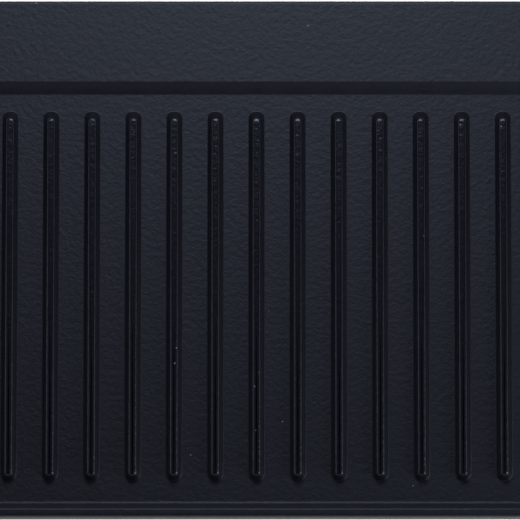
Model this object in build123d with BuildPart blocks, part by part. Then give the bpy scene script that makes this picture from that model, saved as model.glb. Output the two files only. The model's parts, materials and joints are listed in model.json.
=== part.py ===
from build123d import *
import os
from math import asin, cos, degrees, floor, radians, tan

# Reversible grill plate: one iron casting with a ribbed tray on one face and a flat griddle on the
# other, and a wire handle that swings in two cast lugs at each end. All sizes are in millimetres.
# The plate stands ribs up on its griddle rim, with X along its length, the raised band at the back
# (+Y), and the origin under its middle.

# Casting: outline and thicknesses
plate_length = 420.0
plate_depth = 240.5
corner_radius = 18.0
web = 5.0  # thickness of the tray's floor, of the trough's roof and of the step between them
griddle_rim_height = 5.0
rib_height = 5.0  # the ribs, the tray's rim and the raised band all end in one plane
rim_crest = 3.6  # width of a rim across its top, before its edges are rounded
band_width = 38.6  # raised band along the back, which is the underside of the grease trough
parting_draft = 3.0  # degrees, on the outer walls, up and down from the mould's parting line
wall_draft = 30.0  # degrees, on the inner walls
band_draft = 41.0  # degrees, on the step down from the band to the tray
rim_edge_radius = 1.6
lip_radius = 1.0
wall_foot_radius = 1.8

# Ribs
rib_pitch = 19.0
rib_foot_width = 7.0
rib_side_draft = 20.0  # degrees
rib_end_draft = 38.0  # degrees
rib_crest_radius = 1.2
rib_foot_radius = 0.9
rib_end_gap = 8.7  # tray floor left open beyond each end of a rib
rib_side_gap = 7.0  # least tray floor left open beside the first and last rib

# Lugs and wire handles
wire_diameter = 5.0
pivot_clearance = 0.1  # around the wire in its hole
lug_wall = 3.0  # iron around the hole
lug_thickness = 9.0  # along the pivot
lug_span = 104.0  # from the middle of one lug to the middle of the other
lug_root = 3.0  # how far the lug runs into the rim
lug_root_radius = 2.0
lug_edge_chamfer = 0.8
pivot_reach = 8.5  # from the plate's end to the pivot
handle_reach = 42.0  # from the pivot to the middle of the grip
leg_gap = 0.8  # from the lug to where the wire starts to bend
pin_end = 2.0  # wire showing past the lug's inner face
pin_bend_radius = 6.0
grip_bend_radius = 14.0
wire_end_chamfer = 0.8

# Heights worked out from the sizes above
griddle_face = griddle_rim_height
tray_floor = griddle_face + web
plate_thickness = tray_floor + rib_height
trough_roof = plate_thickness - web
parting_height = plate_thickness / 2
same_height = 0.001  # faces less than this apart in height count as level with each other

# Tray: sizes are those of its floor and of its mouth, where its walls meet the rim's crest
draft_inset = parting_height * tan(radians(parting_draft))
tray_wall_run = rib_height * tan(radians(wall_draft))
tray_foot_inset = draft_inset + rim_crest + tray_wall_run
tray_front = tray_foot_inset - plate_depth / 2
band_wall_run = rib_height * tan(radians(band_draft))
tray_back = plate_depth / 2 - band_width - band_wall_run
tray_length = plate_length - 2 * tray_foot_inset
tray_depth = tray_back - tray_front
tray_middle = (tray_front + tray_back) / 2
tray_corner_radius = corner_radius - tray_foot_inset
mouth_length = tray_length + 2 * tray_wall_run
mouth_depth = tray_depth + tray_wall_run + band_wall_run
mouth_middle = tray_middle + (band_wall_run - tray_wall_run) / 2
mouth_corner_radius = tray_corner_radius + tray_wall_run

# Griddle face: sizes are those of the face itself
griddle_wall_run = griddle_rim_height * tan(radians(wall_draft))
griddle_foot_inset = draft_inset + rim_crest + griddle_wall_run
griddle_length = plate_length - 2 * griddle_foot_inset
griddle_depth = plate_depth - 2 * griddle_foot_inset
griddle_corner_radius = corner_radius - griddle_foot_inset

# Grease trough: sizes are those of its roof, which is level with the tray's floor. Its front edge
# lies one web's thickness behind the step, and its other walls carry on the slope of the griddle's rim.
trough_wall_run = (trough_roof - griddle_face) * tan(radians(wall_draft))
trough_front = tray_back + web / cos(radians(band_draft))
trough_back = plate_depth / 2 - griddle_foot_inset - trough_wall_run
trough_length = griddle_length - 2 * trough_wall_run
trough_depth = trough_back - trough_front
trough_middle = (trough_front + trough_back) / 2
trough_corner_radius = griddle_corner_radius - trough_wall_run

rib_length = tray_depth - 2 * rib_end_gap
rib_side_run = rib_height * tan(radians(rib_side_draft))
rib_end_run = rib_height * tan(radians(rib_end_draft))
rib_count = floor((tray_length - rib_foot_width - 2 * rib_side_gap) / rib_pitch) + 1

# Lugs and handles: the pivots lie at half the plate's thickness, so that the handles serve both
# faces. At rest a handle lies down on whatever the plate stands on.
wire_radius = wire_diameter / 2
hole_radius = wire_radius + pivot_clearance
lug_radius = hole_radius + lug_wall
lug_length = pivot_reach + lug_root
lug_inner_face = (lug_span - lug_thickness) / 2
lug_outer_face = lug_inner_face + lug_thickness
pivot_x = plate_length / 2 + pivot_reach
pivot_z = parting_height
leg_y = lug_outer_face + leg_gap + pin_bend_radius
pin_end_y = lug_inner_face - pin_end
handle_droop = degrees(asin((pivot_z - wire_radius) / handle_reach))


def level_faces(part, height):
    """The flat faces at one height, from the smallest to the largest."""
    flat = part.faces().filter_by(Plane.XY)
    return flat.filter_by_position(Axis.Z, height - same_height, height + same_height).sort_by(SortBy.AREA)


def wire_handle(side):
    """A bent wire handle for the right end (side 1) or the left end (side -1)."""
    outward = Vector(side * cos(radians(handle_droop)), 0, -(pivot_z - wire_radius) / handle_reach)
    handle_plane = Plane(
        origin=(side * pivot_x, 0, pivot_z),
        x_dir=outward,
        z_dir=outward.cross(Vector(0, side, 0)),
    )
    with BuildPart() as handle:
        with BuildLine(handle_plane) as route:
            FilletPolyline(
                (0, pin_end_y),
                (0, leg_y),
                (handle_reach, leg_y),
                (handle_reach, -leg_y),
                (0, -leg_y),
                (0, -pin_end_y),
                radius=[pin_bend_radius, grip_bend_radius, grip_bend_radius, pin_bend_radius],
            )
        with BuildSketch(route.line ^ 0):
            Circle(wire_radius)
        sweep()
        chamfer(handle.faces().filter_by(GeomType.PLANE).edges(), wire_end_chamfer)
    return handle


# The casting
with BuildPart() as grill_plate:
    # Drafted blank: above the parting line, then below it
    with BuildSketch(Plane.XY.offset(parting_height)):
        RectangleRounded(plate_length, plate_depth, corner_radius)
    extrude(amount=parting_height, taper=parting_draft)
    with BuildSketch(Plane.XY.offset(parting_height)):
        RectangleRounded(plate_length, plate_depth, corner_radius)
    extrude(amount=-parting_height, taper=parting_draft)
    for height in (0, plate_thickness):
        fillet(level_faces(grill_plate, height)[-1].edges(), rim_edge_radius)

    # Griddle face, open downwards
    with BuildSketch(Plane.XY.offset(griddle_face)):
        RectangleRounded(griddle_length, griddle_depth, griddle_corner_radius)
    extrude(amount=-griddle_rim_height, taper=-wall_draft, mode=Mode.SUBTRACT)
    fillet(level_faces(grill_plate, griddle_face)[-1].edges(), wall_foot_radius)

    # Grease trough along the back of the griddle face, cut on down through the rounded foot there
    with BuildSketch(Plane.XY.offset(trough_roof)):
        with Locations((0, trough_middle)):
            RectangleRounded(trough_length, trough_depth, trough_corner_radius)
    extrude(amount=-trough_roof, taper=-wall_draft, mode=Mode.SUBTRACT)
    fillet(level_faces(grill_plate, trough_roof)[-1].edges(), wall_foot_radius)

    # Ribbed tray, open upwards, from its floor to its mouth
    with BuildSketch(Plane.XY.offset(tray_floor)):
        with Locations((0, tray_middle)):
            RectangleRounded(tray_length, tray_depth, tray_corner_radius)
    with BuildSketch(Plane.XY.offset(plate_thickness)):
        with Locations((0, mouth_middle)):
            RectangleRounded(mouth_length, mouth_depth, mouth_corner_radius)
    loft(ruled=True, mode=Mode.SUBTRACT)
    fillet(level_faces(grill_plate, tray_floor)[-1].edges(), wall_foot_radius)

    # Lips, where each rim turns down into the griddle face and into the tray
    for height in (0, plate_thickness):
        fillet(level_faces(grill_plate, height)[-1].inner_wires()[0].edges(), lip_radius)

    # Ribs, with their crests and then their feet rounded
    with Locations((0, tray_middle, tray_floor + rib_height / 2)):
        with GridLocations(rib_pitch, 0, rib_count, 1):
            Wedge(
                rib_foot_width,
                rib_height,
                rib_length,
                rib_side_run,
                rib_end_run,
                rib_foot_width - rib_side_run,
                rib_length - rib_end_run,
                rotation=(90, 0, 0),
            )
    rib_crests = level_faces(grill_plate, plate_thickness)[:-1]
    fillet(rib_crests.edges(), rib_crest_radius)
    rib_feet = level_faces(grill_plate, tray_floor)[-1].inner_wires()
    fillet(rib_feet.edges(), rib_foot_radius)

    # Lugs at both ends: their sides are the only faces that stand square to the pivots
    with BuildSketch(Plane.XZ.offset(lug_span / 2), Plane.XZ.offset(-lug_span / 2)):
        with Locations((pivot_x, pivot_z), (-pivot_x, pivot_z)):
            Circle(lug_radius)
        with Locations((pivot_x - lug_length / 2, pivot_z), (lug_length / 2 - pivot_x, pivot_z)):
            Rectangle(lug_length, 2 * lug_radius)
    extrude(amount=lug_thickness / 2, both=True)
    lug_lines = grill_plate.faces().filter_by(Axis.Y).edges().filter_by(GeomType.LINE)
    fillet(lug_lines - lug_lines.filter_by(Axis.X), lug_root_radius)
    lug_arcs = grill_plate.faces().filter_by(Axis.Y).edges().filter_by(GeomType.CIRCLE)
    lug_noses = lug_arcs.group_by(SortBy.RADIUS)[-1]
    chamfer(lug_noses, lug_edge_chamfer)

    # Pivot holes, drilled through both lugs of an end in one go
    with BuildSketch(Plane.XZ):
        with Locations((pivot_x, pivot_z), (-pivot_x, pivot_z)):
            Circle(hole_radius)
    extrude(amount=lug_outer_face, both=True, mode=Mode.SUBTRACT)
grill_plate.part.label = "grill_plate"

# The wire handles
right_handle = wire_handle(1)
right_handle.part.label = "right_handle"
left_handle = wire_handle(-1)
left_handle.part.label = "left_handle"

print(rib_count, "ribs,", round(rib_length, 1), "mm long; handles droop", round(handle_droop, 2), "degrees")

os.makedirs("parts", exist_ok=True)
for piece in (grill_plate, right_handle, left_handle):
    export_step(piece.part, f"parts/{piece.part.label}.step")
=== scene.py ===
# %% [markdown]
# # A reversible grill plate
#
# One iron casting with a ribbed tray on this face and a flat griddle on the other, and a wire handle
# that swings in two lugs at each end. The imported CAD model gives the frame: its box, its bodies and
# its hinges. This lesson builds the surfaces that are seen. First comes that frame.

# %% Load the frame
import json
import math

import bmesh
import bpy
import numpy as np
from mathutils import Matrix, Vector

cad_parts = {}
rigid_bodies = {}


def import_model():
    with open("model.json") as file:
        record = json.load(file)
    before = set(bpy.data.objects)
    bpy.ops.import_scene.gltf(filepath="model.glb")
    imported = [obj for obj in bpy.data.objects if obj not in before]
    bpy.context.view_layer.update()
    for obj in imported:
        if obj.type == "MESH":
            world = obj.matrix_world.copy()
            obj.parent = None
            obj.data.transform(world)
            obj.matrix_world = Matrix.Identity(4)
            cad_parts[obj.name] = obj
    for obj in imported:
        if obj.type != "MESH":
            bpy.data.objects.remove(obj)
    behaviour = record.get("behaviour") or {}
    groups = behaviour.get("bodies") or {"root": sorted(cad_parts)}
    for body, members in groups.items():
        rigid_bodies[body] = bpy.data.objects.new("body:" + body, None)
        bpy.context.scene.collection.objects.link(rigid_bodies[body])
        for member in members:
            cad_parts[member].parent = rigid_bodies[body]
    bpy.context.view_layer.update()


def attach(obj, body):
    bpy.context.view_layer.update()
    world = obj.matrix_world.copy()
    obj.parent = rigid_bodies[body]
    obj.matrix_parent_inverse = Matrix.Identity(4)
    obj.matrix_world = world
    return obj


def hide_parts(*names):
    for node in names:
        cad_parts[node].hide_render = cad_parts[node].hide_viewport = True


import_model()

MM = 0.001  # shapes are written in millimetres, and Blender works in metres

# %% [markdown]
# ## The camera
#
# The plate is seen from almost straight above, with both ends outside the picture. The ribs are spread
# less than one percent wider at the front than at the back, so the camera is far away and leans only a
# little. A long lens on a distant camera gives that. The camera comes first.

# %% Place the camera
camera_tilt = math.radians(7.5)  # from straight down, towards the plate's front
camera_distance = 2700 * MM
pixel_size = 0.461 * MM  # in the plane of the rib crests, worked out from their 19 mm pitch
picture_width = 520  # pixels
picture_middle = Vector((1.6 * MM, -1.3 * MM, 15 * MM))

camera_data = bpy.data.cameras.new("camera")
camera_data.sensor_width = 36
camera_data.lens = camera_data.sensor_width * camera_distance / (picture_width * pixel_size)
camera_data.clip_end = 20
camera = bpy.data.objects.new("camera", camera_data)
bpy.context.scene.collection.objects.link(camera)
towards_camera = Vector((0, -math.sin(camera_tilt), math.cos(camera_tilt)))
camera.location = picture_middle + camera_distance * towards_camera
camera.rotation_euler = (camera_tilt, 0, 0)
bpy.context.scene.camera = camera
print("lens", round(camera_data.lens), "mm")

# %% [markdown]
# ## Loops and rounded steps
#
# Every wall of a casting is a slope between two outlines, with a small radius where it starts and
# another where it ends. So two helpers are enough for the plate and its ribs. One draws a rounded
# rectangle as a loop of stations. The other carries a rounded step from one loop to another. Both work
# on whole arrays, and loops that are made with the same counts match station by station.

# %% Loops
def loop_of(x_half, y_low, y_high, radius, height, row_shares, column_shares, corner_steps):
    """A rounded rectangle, anticlockwise from its right side. Each side runs straight between two corner
    centres, with stations at the given shares of its length, and each corner is a quarter circle."""
    centres = np.array([(x_half - radius, y_low + radius), (x_half - radius, y_high - radius),
                        (radius - x_half, y_high - radius), (radius - x_half, y_low + radius)])
    parts = []
    for side, shares in enumerate((row_shares, column_shares, 1 - row_shares[::-1], column_shares)):
        facing = side * math.pi / 2
        start, end = centres[side], centres[(side + 1) % 4]
        out = radius * np.array([math.cos(facing), math.sin(facing)])
        parts.append(start + out + shares[:, None] * (end - start))
        angle = facing + np.linspace(0, math.pi / 2, corner_steps + 1)[1:-1]
        parts.append(end + radius * np.stack([np.cos(angle), np.sin(angle)], axis=1))
    flat = np.concatenate(parts)
    return np.column_stack([flat, np.full(len(flat), float(height))])


# %% Rounded steps
arc_rings = 8
level_ring = 0.35  # millimetres from the level ring to the start of the arc


def rounded_step(from_loop, to_loop, first_radius, last_radius):
    """Rings of a wall that runs straight from one level loop to another, with a circular arc at each end
    that is tangent to the wall and to the level ground beyond it. Where the wall leans at an angle a, an
    arc of radius r starts r*tan(a/2) short of the loop, and after turning by t it has gone r*sin(t)
    sideways and r*(1-cos(t)) down. One more ring lies on the level ground before each arc, so that
    smooth shading doesn't bend the light on the flat beyond. A radius of 0 leaves a sharp end."""
    across = to_loop - from_loop
    fall = across[:, 2].copy()
    across[:, 2] = 0
    run = np.linalg.norm(across, axis=1)
    direction = across / run[:, None]
    lean = np.arctan2(np.abs(fall), run)
    turn = lean * np.linspace(0, 1, arc_rings)[:, None]
    rings = []
    for loop, radius, way in ((from_loop, first_radius, 1), (to_loop, last_radius, -1)):
        gone = radius * (np.sin(turn) - np.tan(lean / 2))
        part = loop + way * gone[..., None] * direction
        part[..., 2] += way * np.sign(fall) * radius * (1 - np.cos(turn))
        level = part[:1] - way * level_ring * direction
        part = np.concatenate([level, part]) if radius else part[:1]
        rings.append(part[::way])
    return np.concatenate(rings)


# %% [markdown]
# ## From rings to a mesh
#
# A stack of rings is a grid that closes on itself. These helpers list its faces and put points and faces
# into a mesh, all at once. Doubled points are merged there, so that a skin that was made in parts closes.

# %% Mesh helpers
merge_distance = 1e-7  # metres


def ring_faces(rings, stations, first=0):
    """Quads between neighbouring rings, each ring closed on itself, counted from a first point."""
    ring, station = np.meshgrid(np.arange(rings - 1), np.arange(stations), indexing="ij")
    here = first + ring * stations + station
    beside = first + ring * stations + (station + 1) % stations
    return np.stack([here, beside, beside + stations, here + stations], axis=-1).reshape(-1, 4).tolist()


def make_piece(name, points, faces, point_values):
    """A mesh object at the origin from points in millimetres, with doubles merged, faces turned outwards
    and smooth shading. point_values names and gives a vector for each point, kept as an attribute."""
    mesh = bpy.data.meshes.new(name)
    mesh.from_pydata((points * MM).tolist(), [], faces)
    for label, vectors in point_values.items():
        mesh.attributes.new(label, "FLOAT_VECTOR", "POINT").data.foreach_set("vector", vectors.ravel())
    shape = bmesh.new()
    shape.from_mesh(mesh)
    bmesh.ops.remove_doubles(shape, verts=shape.verts, dist=merge_distance)
    bmesh.ops.recalc_face_normals(shape, faces=shape.faces)
    shape.to_mesh(mesh)
    shape.free()
    mesh.shade_smooth()
    piece = bpy.data.objects.new(name, mesh)
    bpy.context.scene.collection.objects.link(piece)
    print(name, len(mesh.vertices), "points,", len(mesh.polygons), "faces")
    return piece


# %% [markdown]
# ## The body of the casting
#
# The body is one closed skin. It starts on the tray's floor, climbs the tray's walls, crosses the rim
# and the wide band, goes down the outside past the mould's parting line, and comes in under the plate.
# The step down from the band is gentler than the other walls, so the tray's two loops don't lie evenly
# inside each other. The rounded step takes up that difference by itself.

# %% Sizes of the casting, in millimetres
length, depth, thickness = 420.0, 240.5, 15.0
corner_radius = 18.0
web = 5.0  # the floor's thickness, and the height of the ribs and of both rims
outer_draft, wall_draft, band_draft = (math.radians(angle) for angle in (3, 30, 41))
rim_crest = 3.6
parting_inset = thickness / 2 * math.tan(outer_draft)
wall_run = web * math.tan(wall_draft)
lip_inset = parting_inset + rim_crest
foot_inset = lip_inset + wall_run
band_width, band_run = 38.6, web * math.tan(band_draft)
tray_floor, griddle_face = thickness - web, web
tray_front = foot_inset - depth / 2
tray_back = depth / 2 - band_width - band_run
edge_radius, lip_radius, foot_radius = 1.6, 1.0, 1.8
trough_front = tray_back + web / math.cos(band_draft)
print("tray from", round(tray_front, 1), "to", round(tray_back, 1), "mm, trough from", round(trough_front, 1))

# %% Stations of the casting's loops: the rows are finest over the trough's front wall
corner_steps, column_count = 16, 16
row_end, column_end = depth / 2 - corner_radius, length / 2 - corner_radius
fine_start, fine_end = trough_front - wall_run - 1.5, trough_front + 2.2
rows = np.concatenate([
    np.linspace(-row_end, fine_start - 1, 8),
    np.linspace(fine_start, fine_end, 22),
    np.linspace(fine_end + 1.8, row_end, 4),
])
row_shares = (rows + row_end) / (2 * row_end)
column_shares = np.linspace(0, 1, column_count)
print(len(rows), "rows and", column_count, "columns")


def casting_loop(x_half, y_low, y_high, radius, height):
    """A loop with the casting's stations."""
    return loop_of(x_half, y_low, y_high, radius, height, row_shares, column_shares, corner_steps)


def inset_loop(inset, height):
    """The plate's outline, moved inwards all round by one distance."""
    radius = corner_radius - inset
    return casting_loop(length / 2 - inset, inset - depth / 2, depth / 2 - inset, radius, height)


# %% Upper skin: tray, rim, band and outer wall
floor_loop = casting_loop(
    length / 2 - foot_inset, tray_front, tray_back, corner_radius - foot_inset, tray_floor
)
mouth_loop = casting_loop(
    length / 2 - lip_inset, tray_front - wall_run, tray_back + band_run, corner_radius - lip_inset, thickness
)
crest_loop, parting_loop = inset_loop(parting_inset, thickness), inset_loop(0, thickness / 2)
bottom_loop = inset_loop(parting_inset, 0)
upper_rings = np.concatenate([
    rounded_step(floor_loop, mouth_loop, foot_radius, lip_radius),
    rounded_step(crest_loop, parting_loop, edge_radius, 0),
    rounded_step(parting_loop, bottom_loop, 0, edge_radius)[1:],
])
print("upper skin:", upper_rings.shape[0], "rings of", upper_rings.shape[1])

# %% [markdown]
# ## The griddle side
#
# The underside has a flat griddle face in a rim, and a deeper grease trough at the back that shares the
# rim's walls. Pockets that share walls are awkward as loops but easy as a height: at each point it is
# the lower of two heights, the wall's there and the roof's there. A soft minimum leaves a rounded foot
# where the two meet.

# %% Height of the underside
foot_blend, lip_blend, trough_lip_blend = 2.2, 1.2, 1.0


def soft_min(a, b, width):
    """The lower of two heights. Where they differ by less than the width, a parabola joins them."""
    near = np.clip(1 - np.abs(a - b) / width, 0, 1)
    return np.minimum(a, b) - near * near * width / 4


def underside_height(x, y):
    """The wall rises with the distance inside the rim's lip. The roof is the griddle face, and rises to the
    trough's roof over the run of the trough's front wall. The height is the softly lower of the two."""
    side = np.abs(x) - column_end
    end = np.abs(y) - row_end
    outside = np.hypot(np.maximum(side, 0), np.maximum(end, 0)) + np.minimum(np.maximum(side, end), 0)
    wall = (corner_radius - lip_inset - outside) * web / wall_run
    climb = soft_min((y - trough_front + wall_run) * web / wall_run, web, foot_blend)
    roof = griddle_face - soft_min(-climb, 0, trough_lip_blend)
    return np.maximum(-soft_min(-soft_min(wall, roof, foot_blend), 0, lip_blend), 0)


# %% Lower skin: rings in from the rim, then a plain grid over the middle
insets = np.concatenate([
    np.linspace(lip_inset - 0.7, lip_inset + 0.7, 8),  # round the lip
    np.linspace(lip_inset + 1.2, foot_inset - 1.2, 3),  # up the rim's wall
    np.linspace(foot_inset - 0.9, foot_inset + 1.2, 10),  # round the griddle face's foot
    np.linspace(foot_inset + 1.6, foot_inset + 4.4, 12),  # up the trough's wall and round its foot
    [foot_inset + 6, corner_radius],
])
lower_rings = np.stack([inset_loop(inset, 0) for inset in insets])
lower_rings[..., 2] = underside_height(lower_rings[..., 0], lower_rings[..., 1])
middle_x, middle_y = np.meshgrid(column_end * (2 * column_shares - 1), rows, indexing="ij")
middle = np.stack([middle_x, middle_y, underside_height(middle_x, middle_y)], axis=-1)
print("lower skin:", len(insets), "rings, and a middle of", middle_x.size, "points")

# %% One skin: the first ring is closed by the tray's floor, and the last by the middle
skin_rings = np.concatenate([upper_rings, lower_rings])
stations = skin_rings.shape[1]
skin_points = skin_rings.reshape(-1, 3)
skin_faces = ring_faces(len(skin_rings), stations) + [list(range(stations))]
middle_index = len(skin_points) + np.arange(middle_x.size).reshape(middle_x.shape)
middle_faces = np.stack(
    [middle_index[:-1, :-1], middle_index[1:, :-1], middle_index[1:, 1:], middle_index[:-1, 1:]], axis=-1
)
skin_points = np.concatenate([skin_points, middle.reshape(-1, 3)])
skin_faces += middle_faces.reshape(-1, 4).tolist()
print("body:", len(skin_points), "points")

# %% [markdown]
# ## The ribs
#
# Twenty-one ribs stand in the tray. They are narrow at the crest and wider at the foot, and their far
# ends lean back further than their sides and their near ends do. One rib is a rounded step from a crest
# loop to a foot loop, and the rest are copies of its array, moved along by the pitch. In the CAD model
# the four leaning corners are sharp. Here they are rounded as sand leaves them, and the crests are a
# little rounder, as the light line along each of them shows.

# %% Sizes of the ribs, in millimetres
rib_pitch, rib_count, rib_end_gap = 19.0, 21, 8.7
rib_side_draft, rib_end_draft = math.radians(20), math.radians(38)
rib_foot_half, rib_side_run, rib_end_run = 3.5, web * math.tan(rib_side_draft), web * math.tan(rib_end_draft)
crest_half = rib_foot_half - rib_side_run
rib_back = tray_back - rib_end_gap
crest_front, crest_back = tray_front + rib_end_gap + rib_end_run, rib_back - rib_end_run
rib_front = crest_front - rib_side_run  # the near ends look as steep as the sides
crest_corner, foot_corner = 1.4, 2.8  # radii of the corners, seen from above
crest_radius, rib_foot_radius = 2.2, 0.9
floor_dip = 0.05
print(rib_count, "ribs,", round(rib_back - rib_front, 1), "mm long")

# %% Ribs
rib_stations = {"row_shares": np.linspace(0, 1, 12), "column_shares": np.linspace(0, 1, 4), "corner_steps": 7}
rib_crest_loop = loop_of(crest_half, crest_front, crest_back, crest_corner, thickness, **rib_stations)
rib_foot_loop = loop_of(rib_foot_half, rib_front, rib_back, foot_corner, tray_floor, **rib_stations)
rib_rings = rounded_step(rib_crest_loop, rib_foot_loop, crest_radius, rib_foot_radius)
rib_rings[-1, :, 2] -= floor_dip  # the last ring dips under the floor, so that no two faces share its plane
rib_places = (np.arange(rib_count) - (rib_count - 1) / 2) * rib_pitch
rib_points = (rib_rings[None] + rib_places[:, None, None, None] * np.array([1, 0, 0])).reshape(-1, 3)
ring_count, ring_size = rib_rings.shape[:2]
rib_faces = []
for number in range(rib_count):
    first = number * ring_count * ring_size
    last = first + ring_count * ring_size
    rib_faces += ring_faces(ring_count, ring_size, first)
    rib_faces += [list(range(first, first + ring_size)), list(range(last - ring_size, last))]
print("ribs:", len(rib_points), "points")

# %% [markdown]
# ## The lugs
#
# A lug is an ear with a hole through it, cast on to the rim. Its skin is like a tyre's: one parameter
# goes round the pivot, and the other goes round the section, from the bore out over one side to the
# outline and back over the other side. Where the lug runs into the rim, the skin flares out by the
# same fillet that the pattern maker puts there.

# %% Sizes of the lugs, in millimetres
pivot_reach = 8.5  # from the plate's end to the pivot
pivot_x, pivot_z = length / 2 + pivot_reach, thickness / 2
lug_middle, lug_half, lug_radius, bore_radius, lug_root = 52.0, 4.5, 5.6, 2.6, 11.5
lug_edge, bore_edge = 0.9, 0.35
side_fillet, top_fillet = 2, 1
nose_stations, side_rings = 33, 16
print("pivots at x", pivot_x, "and z", pivot_z, "mm")


# %% A lug's outline
def lug_outline():
    """Once round the lug, seen along its pivot: a half circle at the nose, and straight back above and
    below to a plain end inside the rim. Gives the points and the way out at each."""
    nose = np.linspace(-math.pi / 2, math.pi / 2, nose_stations)
    back = -lug_root * np.concatenate([np.linspace(0, 0.5, 7)[1:], np.linspace(0.5, 0.8, 14)[1:], [1]])
    top = np.stack([back, np.full(back.shape, lug_radius)], axis=1)
    points = np.concatenate([lug_radius * np.stack([np.cos(nose), np.sin(nose)], axis=1), top,
                             [(-lug_root, 0)], top[::-1] * (1, -1)])
    out = points / np.linalg.norm(points, axis=1)[:, None]
    out[nose_stations:nose_stations + len(top)] = (0, 1)
    out[-len(top):] = (0, -1)
    return points, out


# %% A lug's skin
def fillet_flare(clear, radius):
    """How far a fillet stands out at a distance d from the wall: r - sqrt(r*r - (r-d)*(r-d))."""
    clear = np.clip(clear, 0, radius)
    return radius - np.sqrt(radius ** 2 - (radius - clear) ** 2)


def lug_skin(middle_y, end):
    """The section goes from the bore, round its edge, across the side, round the outer edge and over the
    outline, and back the same way on the other side. Distances from the bore are shares of the way out."""
    outline, out = lug_outline()
    bore = bore_radius * outline / np.linalg.norm(outline, axis=1)[:, None]
    quarter = np.linspace(0, math.pi / 2, 6)
    rings = []
    for turn in quarter[:3]:  # one flat facet makes up the rest of the bore's edge
        swell = 1 + bore_edge / bore_radius * (1 - math.cos(turn))
        rings.append((bore * swell, lug_half - bore_edge * (1 - math.sin(turn))))
    inner, outer = bore * (1 + bore_edge / bore_radius), outline - out * lug_edge
    for share in np.linspace(0, 1, side_rings):
        rings.append((inner + share * (outer - inner), lug_half))
    for turn in quarter[1:]:
        shrunk = outline - out * lug_edge * (1 - math.sin(turn))
        rings.append((shrunk, lug_half - lug_edge * (1 - math.cos(turn))))
    flat = np.stack([ring for ring, _ in rings])
    side = np.array([y for _, y in rings])
    flat = np.concatenate([flat, flat[::-1]])
    side = np.concatenate([side, -side[::-1]])[:, None] * np.ones(flat.shape[1])
    height = flat[..., 1]
    clear = flat[..., 0] + pivot_reach + np.abs(height) * math.tan(outer_draft)
    outermost = np.clip(np.abs(height) - lug_radius + top_fillet, 0, 1)
    height = height + np.sign(height) * fillet_flare(clear, top_fillet) * outermost
    side = side + side / lug_half * fillet_flare(clear, side_fillet)
    return np.stack([end * (pivot_x + flat[..., 0]), middle_y + side, pivot_z + height], axis=-1)


# %% Four lugs
lug_grids = [lug_skin(y, end) for end in (1, -1) for y in (-lug_middle, lug_middle)]
lug_rings, lug_stations = lug_grids[0].shape[:2]
lug_points = np.concatenate([grid.reshape(-1, 3) for grid in lug_grids])
lug_faces = []
for number in range(len(lug_grids)):
    first = number * lug_rings * lug_stations
    lug_faces += ring_faces(lug_rings, lug_stations, first)
    first_ring = first + np.arange(lug_stations)
    last_ring = first_ring + (lug_rings - 1) * lug_stations
    bore_quads = [last_ring, np.roll(last_ring, -1), np.roll(first_ring, -1), first_ring]
    lug_faces += np.stack(bore_quads, axis=-1).tolist()
print("lugs:", lug_rings, "by", lug_stations, "points each")

# %% [markdown]
# ## One casting
#
# The real plate is poured in one go. Here the body, the ribs and the lugs are closed skins that run into
# each other in one mesh. A union would weld them, but it would cut up the even rows of points that the
# smooth shading needs. Food and turners burnish the crests of the ribs, so each point also keeps how
# burnished it is, for the enamel to read.

# %% Put the casting together
def shifted(faces, by):
    """The same faces, for points that start further on in a longer list."""
    return [[index + by for index in face] for face in faces]


ribs_from = len(skin_points)
ribs_to = ribs_from + len(rib_points)
casting_points = np.concatenate([skin_points, rib_points, lug_points])
casting_faces = skin_faces + shifted(rib_faces, ribs_from) + shifted(lug_faces, ribs_to)
burnish_start, burnish_rise = 13.6, 0.8  # a height, and how far above it the burnish is full
burnish = np.zeros((len(casting_points), 3))  # only x is used
burnish[ribs_from:ribs_to, 0] = np.clip((rib_points[:, 2] - burnish_start) / burnish_rise, 0, 1)
casting = make_piece("casting", casting_points, casting_faces, {"burnish": burnish})
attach(casting, "plate")
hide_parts("grill_plate")

# %% [markdown]
# ## The wire handles
#
# A handle is one length of wire, bent four times: two tight bends for the pins that turn in the lugs, and
# two wide ones for the grip. A curve with a bevel would do, but its bends would only come close. Here
# the path is exact, runs and quarter circles, and a circle is carried along it. The way along the wire
# and round it is kept at each point, so that the drawn lines of the finish can follow the bends.

# %% Sizes of the wire, in millimetres
wire_radius, end_bevel, mid_bevel = 2.5, 0.8, 0.35
reach, leg, pin_end = 42.0, 63.3, 45.5
bend_radii = (6, 14, 14, 6)
bend_stations, wire_sides = 19, 32
droop = math.asin((pivot_z - wire_radius) / reach)
print("handles droop", round(math.degrees(droop), 2), "degrees at rest")


# %% The wire's path
def wire_path():
    """Runs and quarter circles in the handle's own plane. Gives each station's place, its way on, and its
    distance along the wire."""
    knots = np.array([(0, pin_end), (0, leg), (reach, leg), (reach, -leg), (0, -leg), (0, -pin_end)])
    turn = np.linspace(0, math.pi / 2, bend_stations)[:, None]
    places, ways = [], []
    for number, radius in enumerate(bend_radii, start=1):
        back = knots[number - 1] - knots[number]
        on = knots[number + 1] - knots[number]
        back, on = back / np.linalg.norm(back), on / np.linalg.norm(on)
        centre = knots[number] + radius * (back + on)
        places.append(centre - radius * (on * np.cos(turn) + back * np.sin(turn)))
        ways.append(on * np.sin(turn) - back * np.cos(turn))
    bevel = np.array([[0], [mid_bevel], [end_bevel]])
    first_ways, last_ways = np.repeat(ways[0][:1], 3, axis=0), np.repeat(ways[-1][-1:], 3, axis=0)
    first_places, last_places = knots[0] + first_ways * bevel, knots[-1] - last_ways * bevel[::-1]
    places = np.concatenate([first_places] + places + [last_places])
    ways = np.concatenate([first_ways] + ways + [last_ways])
    along = np.concatenate([[0], np.cumsum(np.linalg.norm(np.diff(places, axis=0), axis=1))])
    return places, ways, along


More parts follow.
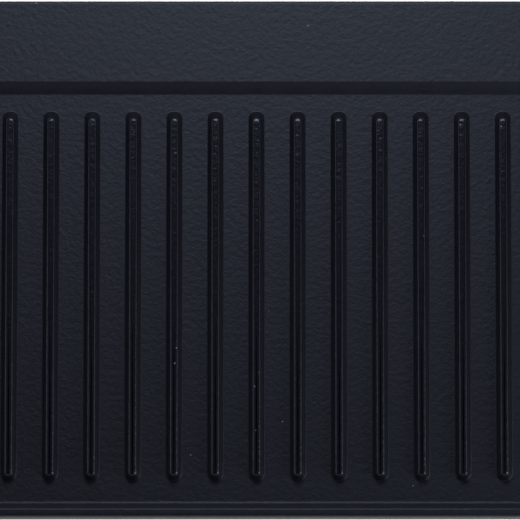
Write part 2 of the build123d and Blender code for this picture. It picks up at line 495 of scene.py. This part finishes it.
# %% The wire's skin
def wire_handle(name, end):
    """A circle carried along the path in a plane that slopes down from the pivots, with its ends bevelled
    and closed. end is 1 at the plate's right end and -1 at its left."""
    places, ways, along = wire_path()
    outward = np.array([end * math.cos(droop), 0, -math.sin(droop)])
    sideways = np.array([0.0, 1.0, 0.0])
    normal = np.cross(outward, sideways)
    spine = np.array([end * pivot_x, 0, pivot_z]) + places[:, :1] * outward + places[:, 1:] * sideways
    across = -ways[:, 1:] * outward + ways[:, :1] * sideways
    radius = np.full(len(spine), wire_radius)
    radius[[0, -1]] -= end_bevel
    radius[[1, -2]] -= mid_bevel
    angle = np.arange(wire_sides) / wire_sides * 2 * math.pi
    circle = across[:, None] * np.cos(angle)[:, None] + normal * np.sin(angle)[:, None]
    points = spine[:, None] + radius[:, None, None] * circle
    round_wire = radius[:, None] * np.cos(angle), radius[:, None] * np.sin(angle)
    path_values = np.stack(np.broadcast_arrays(along[:, None], *round_wire), axis=-1)
    faces = ring_faces(len(spine), wire_sides)
    last = len(spine) * wire_sides
    faces += [list(range(wire_sides)), list(range(last - wire_sides, last))]
    return make_piece(name, points.reshape(-1, 3), faces, {"wire_path": path_values.reshape(-1, 3)})


# %% Both handles
handles = []
for name, end in (("right", 1), ("left", -1)):
    handle = wire_handle(name + "_wire", end)
    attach(handle, name + "_grip")
    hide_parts(name + "_handle")
    handles.append(handle)

# %% [markdown]
# ## Materials
#
# One small function adds a node with its settings and links, so that a material reads as a list of
# what the finish is made of. Colours are written as they look on a screen and turned to linear light.

# %% Material helpers
def linear(hex_colour):
    """sRGB hex to linear: the low end is divided by 12.92, the rest is ((c+0.055)/1.055) to the 2.4."""
    channels = [int(hex_colour[i:i + 2], 16) / 255 for i in (1, 3, 5)]
    return [c / 12.92 if c <= 0.04045 else ((c + 0.055) / 1.055) ** 2.4 for c in channels] + [1.0]


def node(tree, kind, settings=None, **inputs):
    """Adds a node. settings are its properties, and inputs are values or other nodes' sockets. An input's
    name is written with underscores for spaces, or as i and its number."""
    made = tree.nodes.new(kind)
    for name, value in (settings or {}).items():
        setattr(made, name, value)
    for name, value in inputs.items():
        numbered = name[0] == "i" and name[1:].isdigit()
        socket = made.inputs[int(name[1:]) if numbered else name.replace("_", " ")]
        if isinstance(value, bpy.types.NodeSocket):
            tree.links.new(value, socket)
        else:
            socket.default_value = value
    return made


def new_material(name):
    """A material with its node tree and its shader."""
    material = bpy.data.materials.new(name)
    material.use_nodes = True
    return material, material.node_tree, material.node_tree.nodes["Principled BSDF"]


# %% [markdown]
# ### Matt black enamel on cast iron
#
# The plate is cast in sand and sprayed with black enamel, which is baked on. The sand leaves a grain of
# about a millimetre, and the enamel softens it to an orange peel. So the grain is a bump from two noises,
# the colour is a blue-black with faint mottling, and the roughness falls where the burnish attribute
# says. Here and there the enamel has chipped, most often on the crests. A chip shows where the point of
# a chosen cell lies at the surface.

# %% Enamel: blue-black with faint mottling
enamel, tree, shader = new_material("matt_enamel_on_cast_iron")
where = node(tree, "ShaderNodeTexCoord").outputs["Object"]
burnished = node(tree, "ShaderNodeAttribute", {"attribute_name": "burnish"}).outputs["Vector"]
burnished = node(tree, "ShaderNodeSeparateXYZ", Vector=burnished).outputs["X"]
mottle_size = 9 * MM
mottle = node(tree, "ShaderNodeTexNoise", Vector=where, Scale=1 / mottle_size, Detail=4.0).outputs["Fac"]
black = node(
    tree, "ShaderNodeMix", {"data_type": "RGBA"}, i0=mottle, i6=linear("#0a0c12"), i7=linear("#11131a")
)

# %% Enamel: chips, in one cell of 20 on the flats and in more on the crests
cell, chip_radius = 6 * MM, 0.3 * MM
cells = node(tree, "ShaderNodeTexVoronoi", Vector=where, Scale=1 / cell)
draw = node(tree, "ShaderNodeSeparateColor", Color=cells.outputs["Color"]).outputs["Red"]
least = node(tree, "ShaderNodeMapRange", Value=burnished, To_Min=0.95, To_Max=0.7).outputs[0]
chosen = node(tree, "ShaderNodeMath", {"operation": "GREATER_THAN"}, i0=draw, i1=least).outputs[0]
close = node(
    tree, "ShaderNodeMath", {"operation": "LESS_THAN"}, i0=cells.outputs["Distance"], i1=chip_radius / cell
).outputs[0]
chip = node(tree, "ShaderNodeMath", {"operation": "MULTIPLY"}, i0=chosen, i1=close).outputs[0]
colour = node(
    tree, "ShaderNodeMix", {"data_type": "RGBA"}, i0=chip, i6=black.outputs[2], i7=linear("#7b7c80")
)
tree.links.new(colour.outputs[2], shader.inputs["Base Color"])

# %% Enamel: grain and gloss
peel_size, grain_size = 2.4 * MM, 1.1 * MM  # sand is about 0.3 mm: drawn coarser, as a pixel is 0.46 mm
peel = node(tree, "ShaderNodeTexNoise", Vector=where, Scale=1 / peel_size, Detail=1.0).outputs["Fac"]
grain = node(tree, "ShaderNodeTexNoise", Vector=where, Scale=1 / grain_size, Detail=2.0).outputs["Fac"]
peel_bump = node(tree, "ShaderNodeBump", Height=peel, Strength=0.38, Distance=0.4 * MM)
grain_bump = node(
    tree, "ShaderNodeBump", Height=grain, Strength=0.55, Distance=0.15 * MM, Normal=peel_bump.outputs[0]
)
tree.links.new(grain_bump.outputs[0], shader.inputs["Normal"])
roughness = node(tree, "ShaderNodeMapRange", Value=burnished, To_Min=0.52, To_Max=0.24)
tree.links.new(roughness.outputs[0], shader.inputs["Roughness"])
shader.inputs["Specular IOR Level"].default_value = 0.36
shader.inputs["Specular Tint"].default_value = (0.66, 0.76, 1.0, 1.0)
casting.data.materials.append(enamel)
print("enamel:", len(tree.nodes), "nodes")

# %% [markdown]
# ### Drawn stainless wire
#
# Wire is pulled through a die, which leaves fine lines along it. The noise is read in the wire's own
# straightened space, stretched along the wire, so that the lines follow every bend.

# %% Stainless wire
steel, tree, shader = new_material("drawn_stainless_wire")
path = node(tree, "ShaderNodeAttribute", {"attribute_name": "wire_path"}).outputs["Vector"]
line_length, line_width = 17, 0.2  # mm, as the path is: real lines are about 0.05 mm wide, drawn coarser
line_scale = (1 / line_length, 1 / line_width, 1 / line_width)
straight = node(tree, "ShaderNodeMapping", Vector=path, Scale=line_scale).outputs[0]
lines = node(tree, "ShaderNodeTexNoise", Vector=straight, Scale=1.0, Detail=3.0).outputs["Fac"]
shade = node(
    tree, "ShaderNodeMix", {"data_type": "RGBA"}, i0=lines, i6=linear("#a9a9ab"), i7=linear("#c9c9ca")
)
tree.links.new(shade.outputs[2], shader.inputs["Base Color"])
line_bump = node(tree, "ShaderNodeBump", Height=lines, Strength=0.2, Distance=0.1 * MM)
tree.links.new(line_bump.outputs[0], shader.inputs["Normal"])
dull = node(tree, "ShaderNodeMapRange", Value=lines, To_Min=0.25, To_Max=0.42)
tree.links.new(dull.outputs[0], shader.inputs["Roughness"])
shader.inputs["Metallic"].default_value = 1.0
for handle in handles:
    handle.data.materials.append(steel)
print("wire:", len(tree.nodes), "nodes")

# %% [markdown]
# ## Floor and light
#
# The plate lies on plain white ground. A small soft light stands behind it, a low one at its right
# front and a wide weak one at its left. The room is white towards the horizon and dark overhead, so
# that a matt black face that looks straight up stays black. To the camera, and in metal, the ground is
# lifted towards white. It keeps the plate's shadow, because the same lift is added everywhere.

# %% Floor
floor_half, floor_lift = 3, 0.45  # metres, and a strength at which 1 is white
ground = bpy.data.meshes.new("floor")
ground.from_pydata(
    [(-floor_half, -floor_half, 0), (floor_half, -floor_half, 0),
     (floor_half, floor_half, 0), (-floor_half, floor_half, 0)], [], [(0, 1, 2, 3)]
)
floor = bpy.data.objects.new("floor", ground)
bpy.context.scene.collection.objects.link(floor)
paper, tree, shader = new_material("white_paper")
shader.inputs["Base Color"].default_value = linear("#f0f0f0")
shader.inputs["Roughness"].default_value = 0.9
shader.inputs["Emission Color"].default_value = (1, 1, 1, 1)
light_path = node(tree, "ShaderNodeLightPath").outputs
seen = light_path["Is Camera Ray"]
for ray in ("Is Glossy Ray", "Is Transmission Ray"):
    seen = node(tree, "ShaderNodeMath", {"operation": "MAXIMUM"}, i0=seen, i1=light_path[ray]).outputs[0]
lift = node(tree, "ShaderNodeMath", {"operation": "MULTIPLY"}, i0=seen, i1=floor_lift)
tree.links.new(lift.outputs[0], shader.inputs["Emission Strength"])
ground.materials.append(paper)


# %% Lights
def soft_light(name, place, size, watts):
    """A square area light that faces the plate's middle."""
    data = bpy.data.lights.new(name, "AREA")
    data.size = size
    data.energy = watts
    light = bpy.data.objects.new(name, data)
    bpy.context.scene.collection.objects.link(light)
    light.location = place
    light.rotation_euler = (-Vector(place)).to_track_quat("-Z", "Y").to_euler()
    print(name, watts, "W")


soft_light("back_light", place=(0.0, 0.45, 0.6), size=0.3, watts=3.5)
soft_light("right_light", place=(0.6, -0.3, 0.3), size=0.4, watts=2.4)
soft_light("left_light", place=(-0.9, 0.0, 0.5), size=1.0, watts=0.8)

# %% Studio walls
world = bpy.data.worlds.new("studio")
bpy.context.scene.world = world
world.use_nodes = True
tree = world.node_tree
direction = node(tree, "ShaderNodeTexCoord").outputs["Generated"]
upwards = node(tree, "ShaderNodeSeparateXYZ", Vector=direction).outputs["Z"]
walls = node(
    tree, "ShaderNodeMapRange", {"interpolation_type": "SMOOTHSTEP"},
    Value=upwards, From_Min=0.2, From_Max=0.55, To_Min=1.0, To_Max=0.0,
)
tree.nodes["Background"].inputs["Color"].default_value = (1, 1, 1, 1)
tree.links.new(walls.outputs[0], tree.nodes["Background"].inputs["Strength"])
bpy.context.scene.view_settings.view_transform = "Standard"
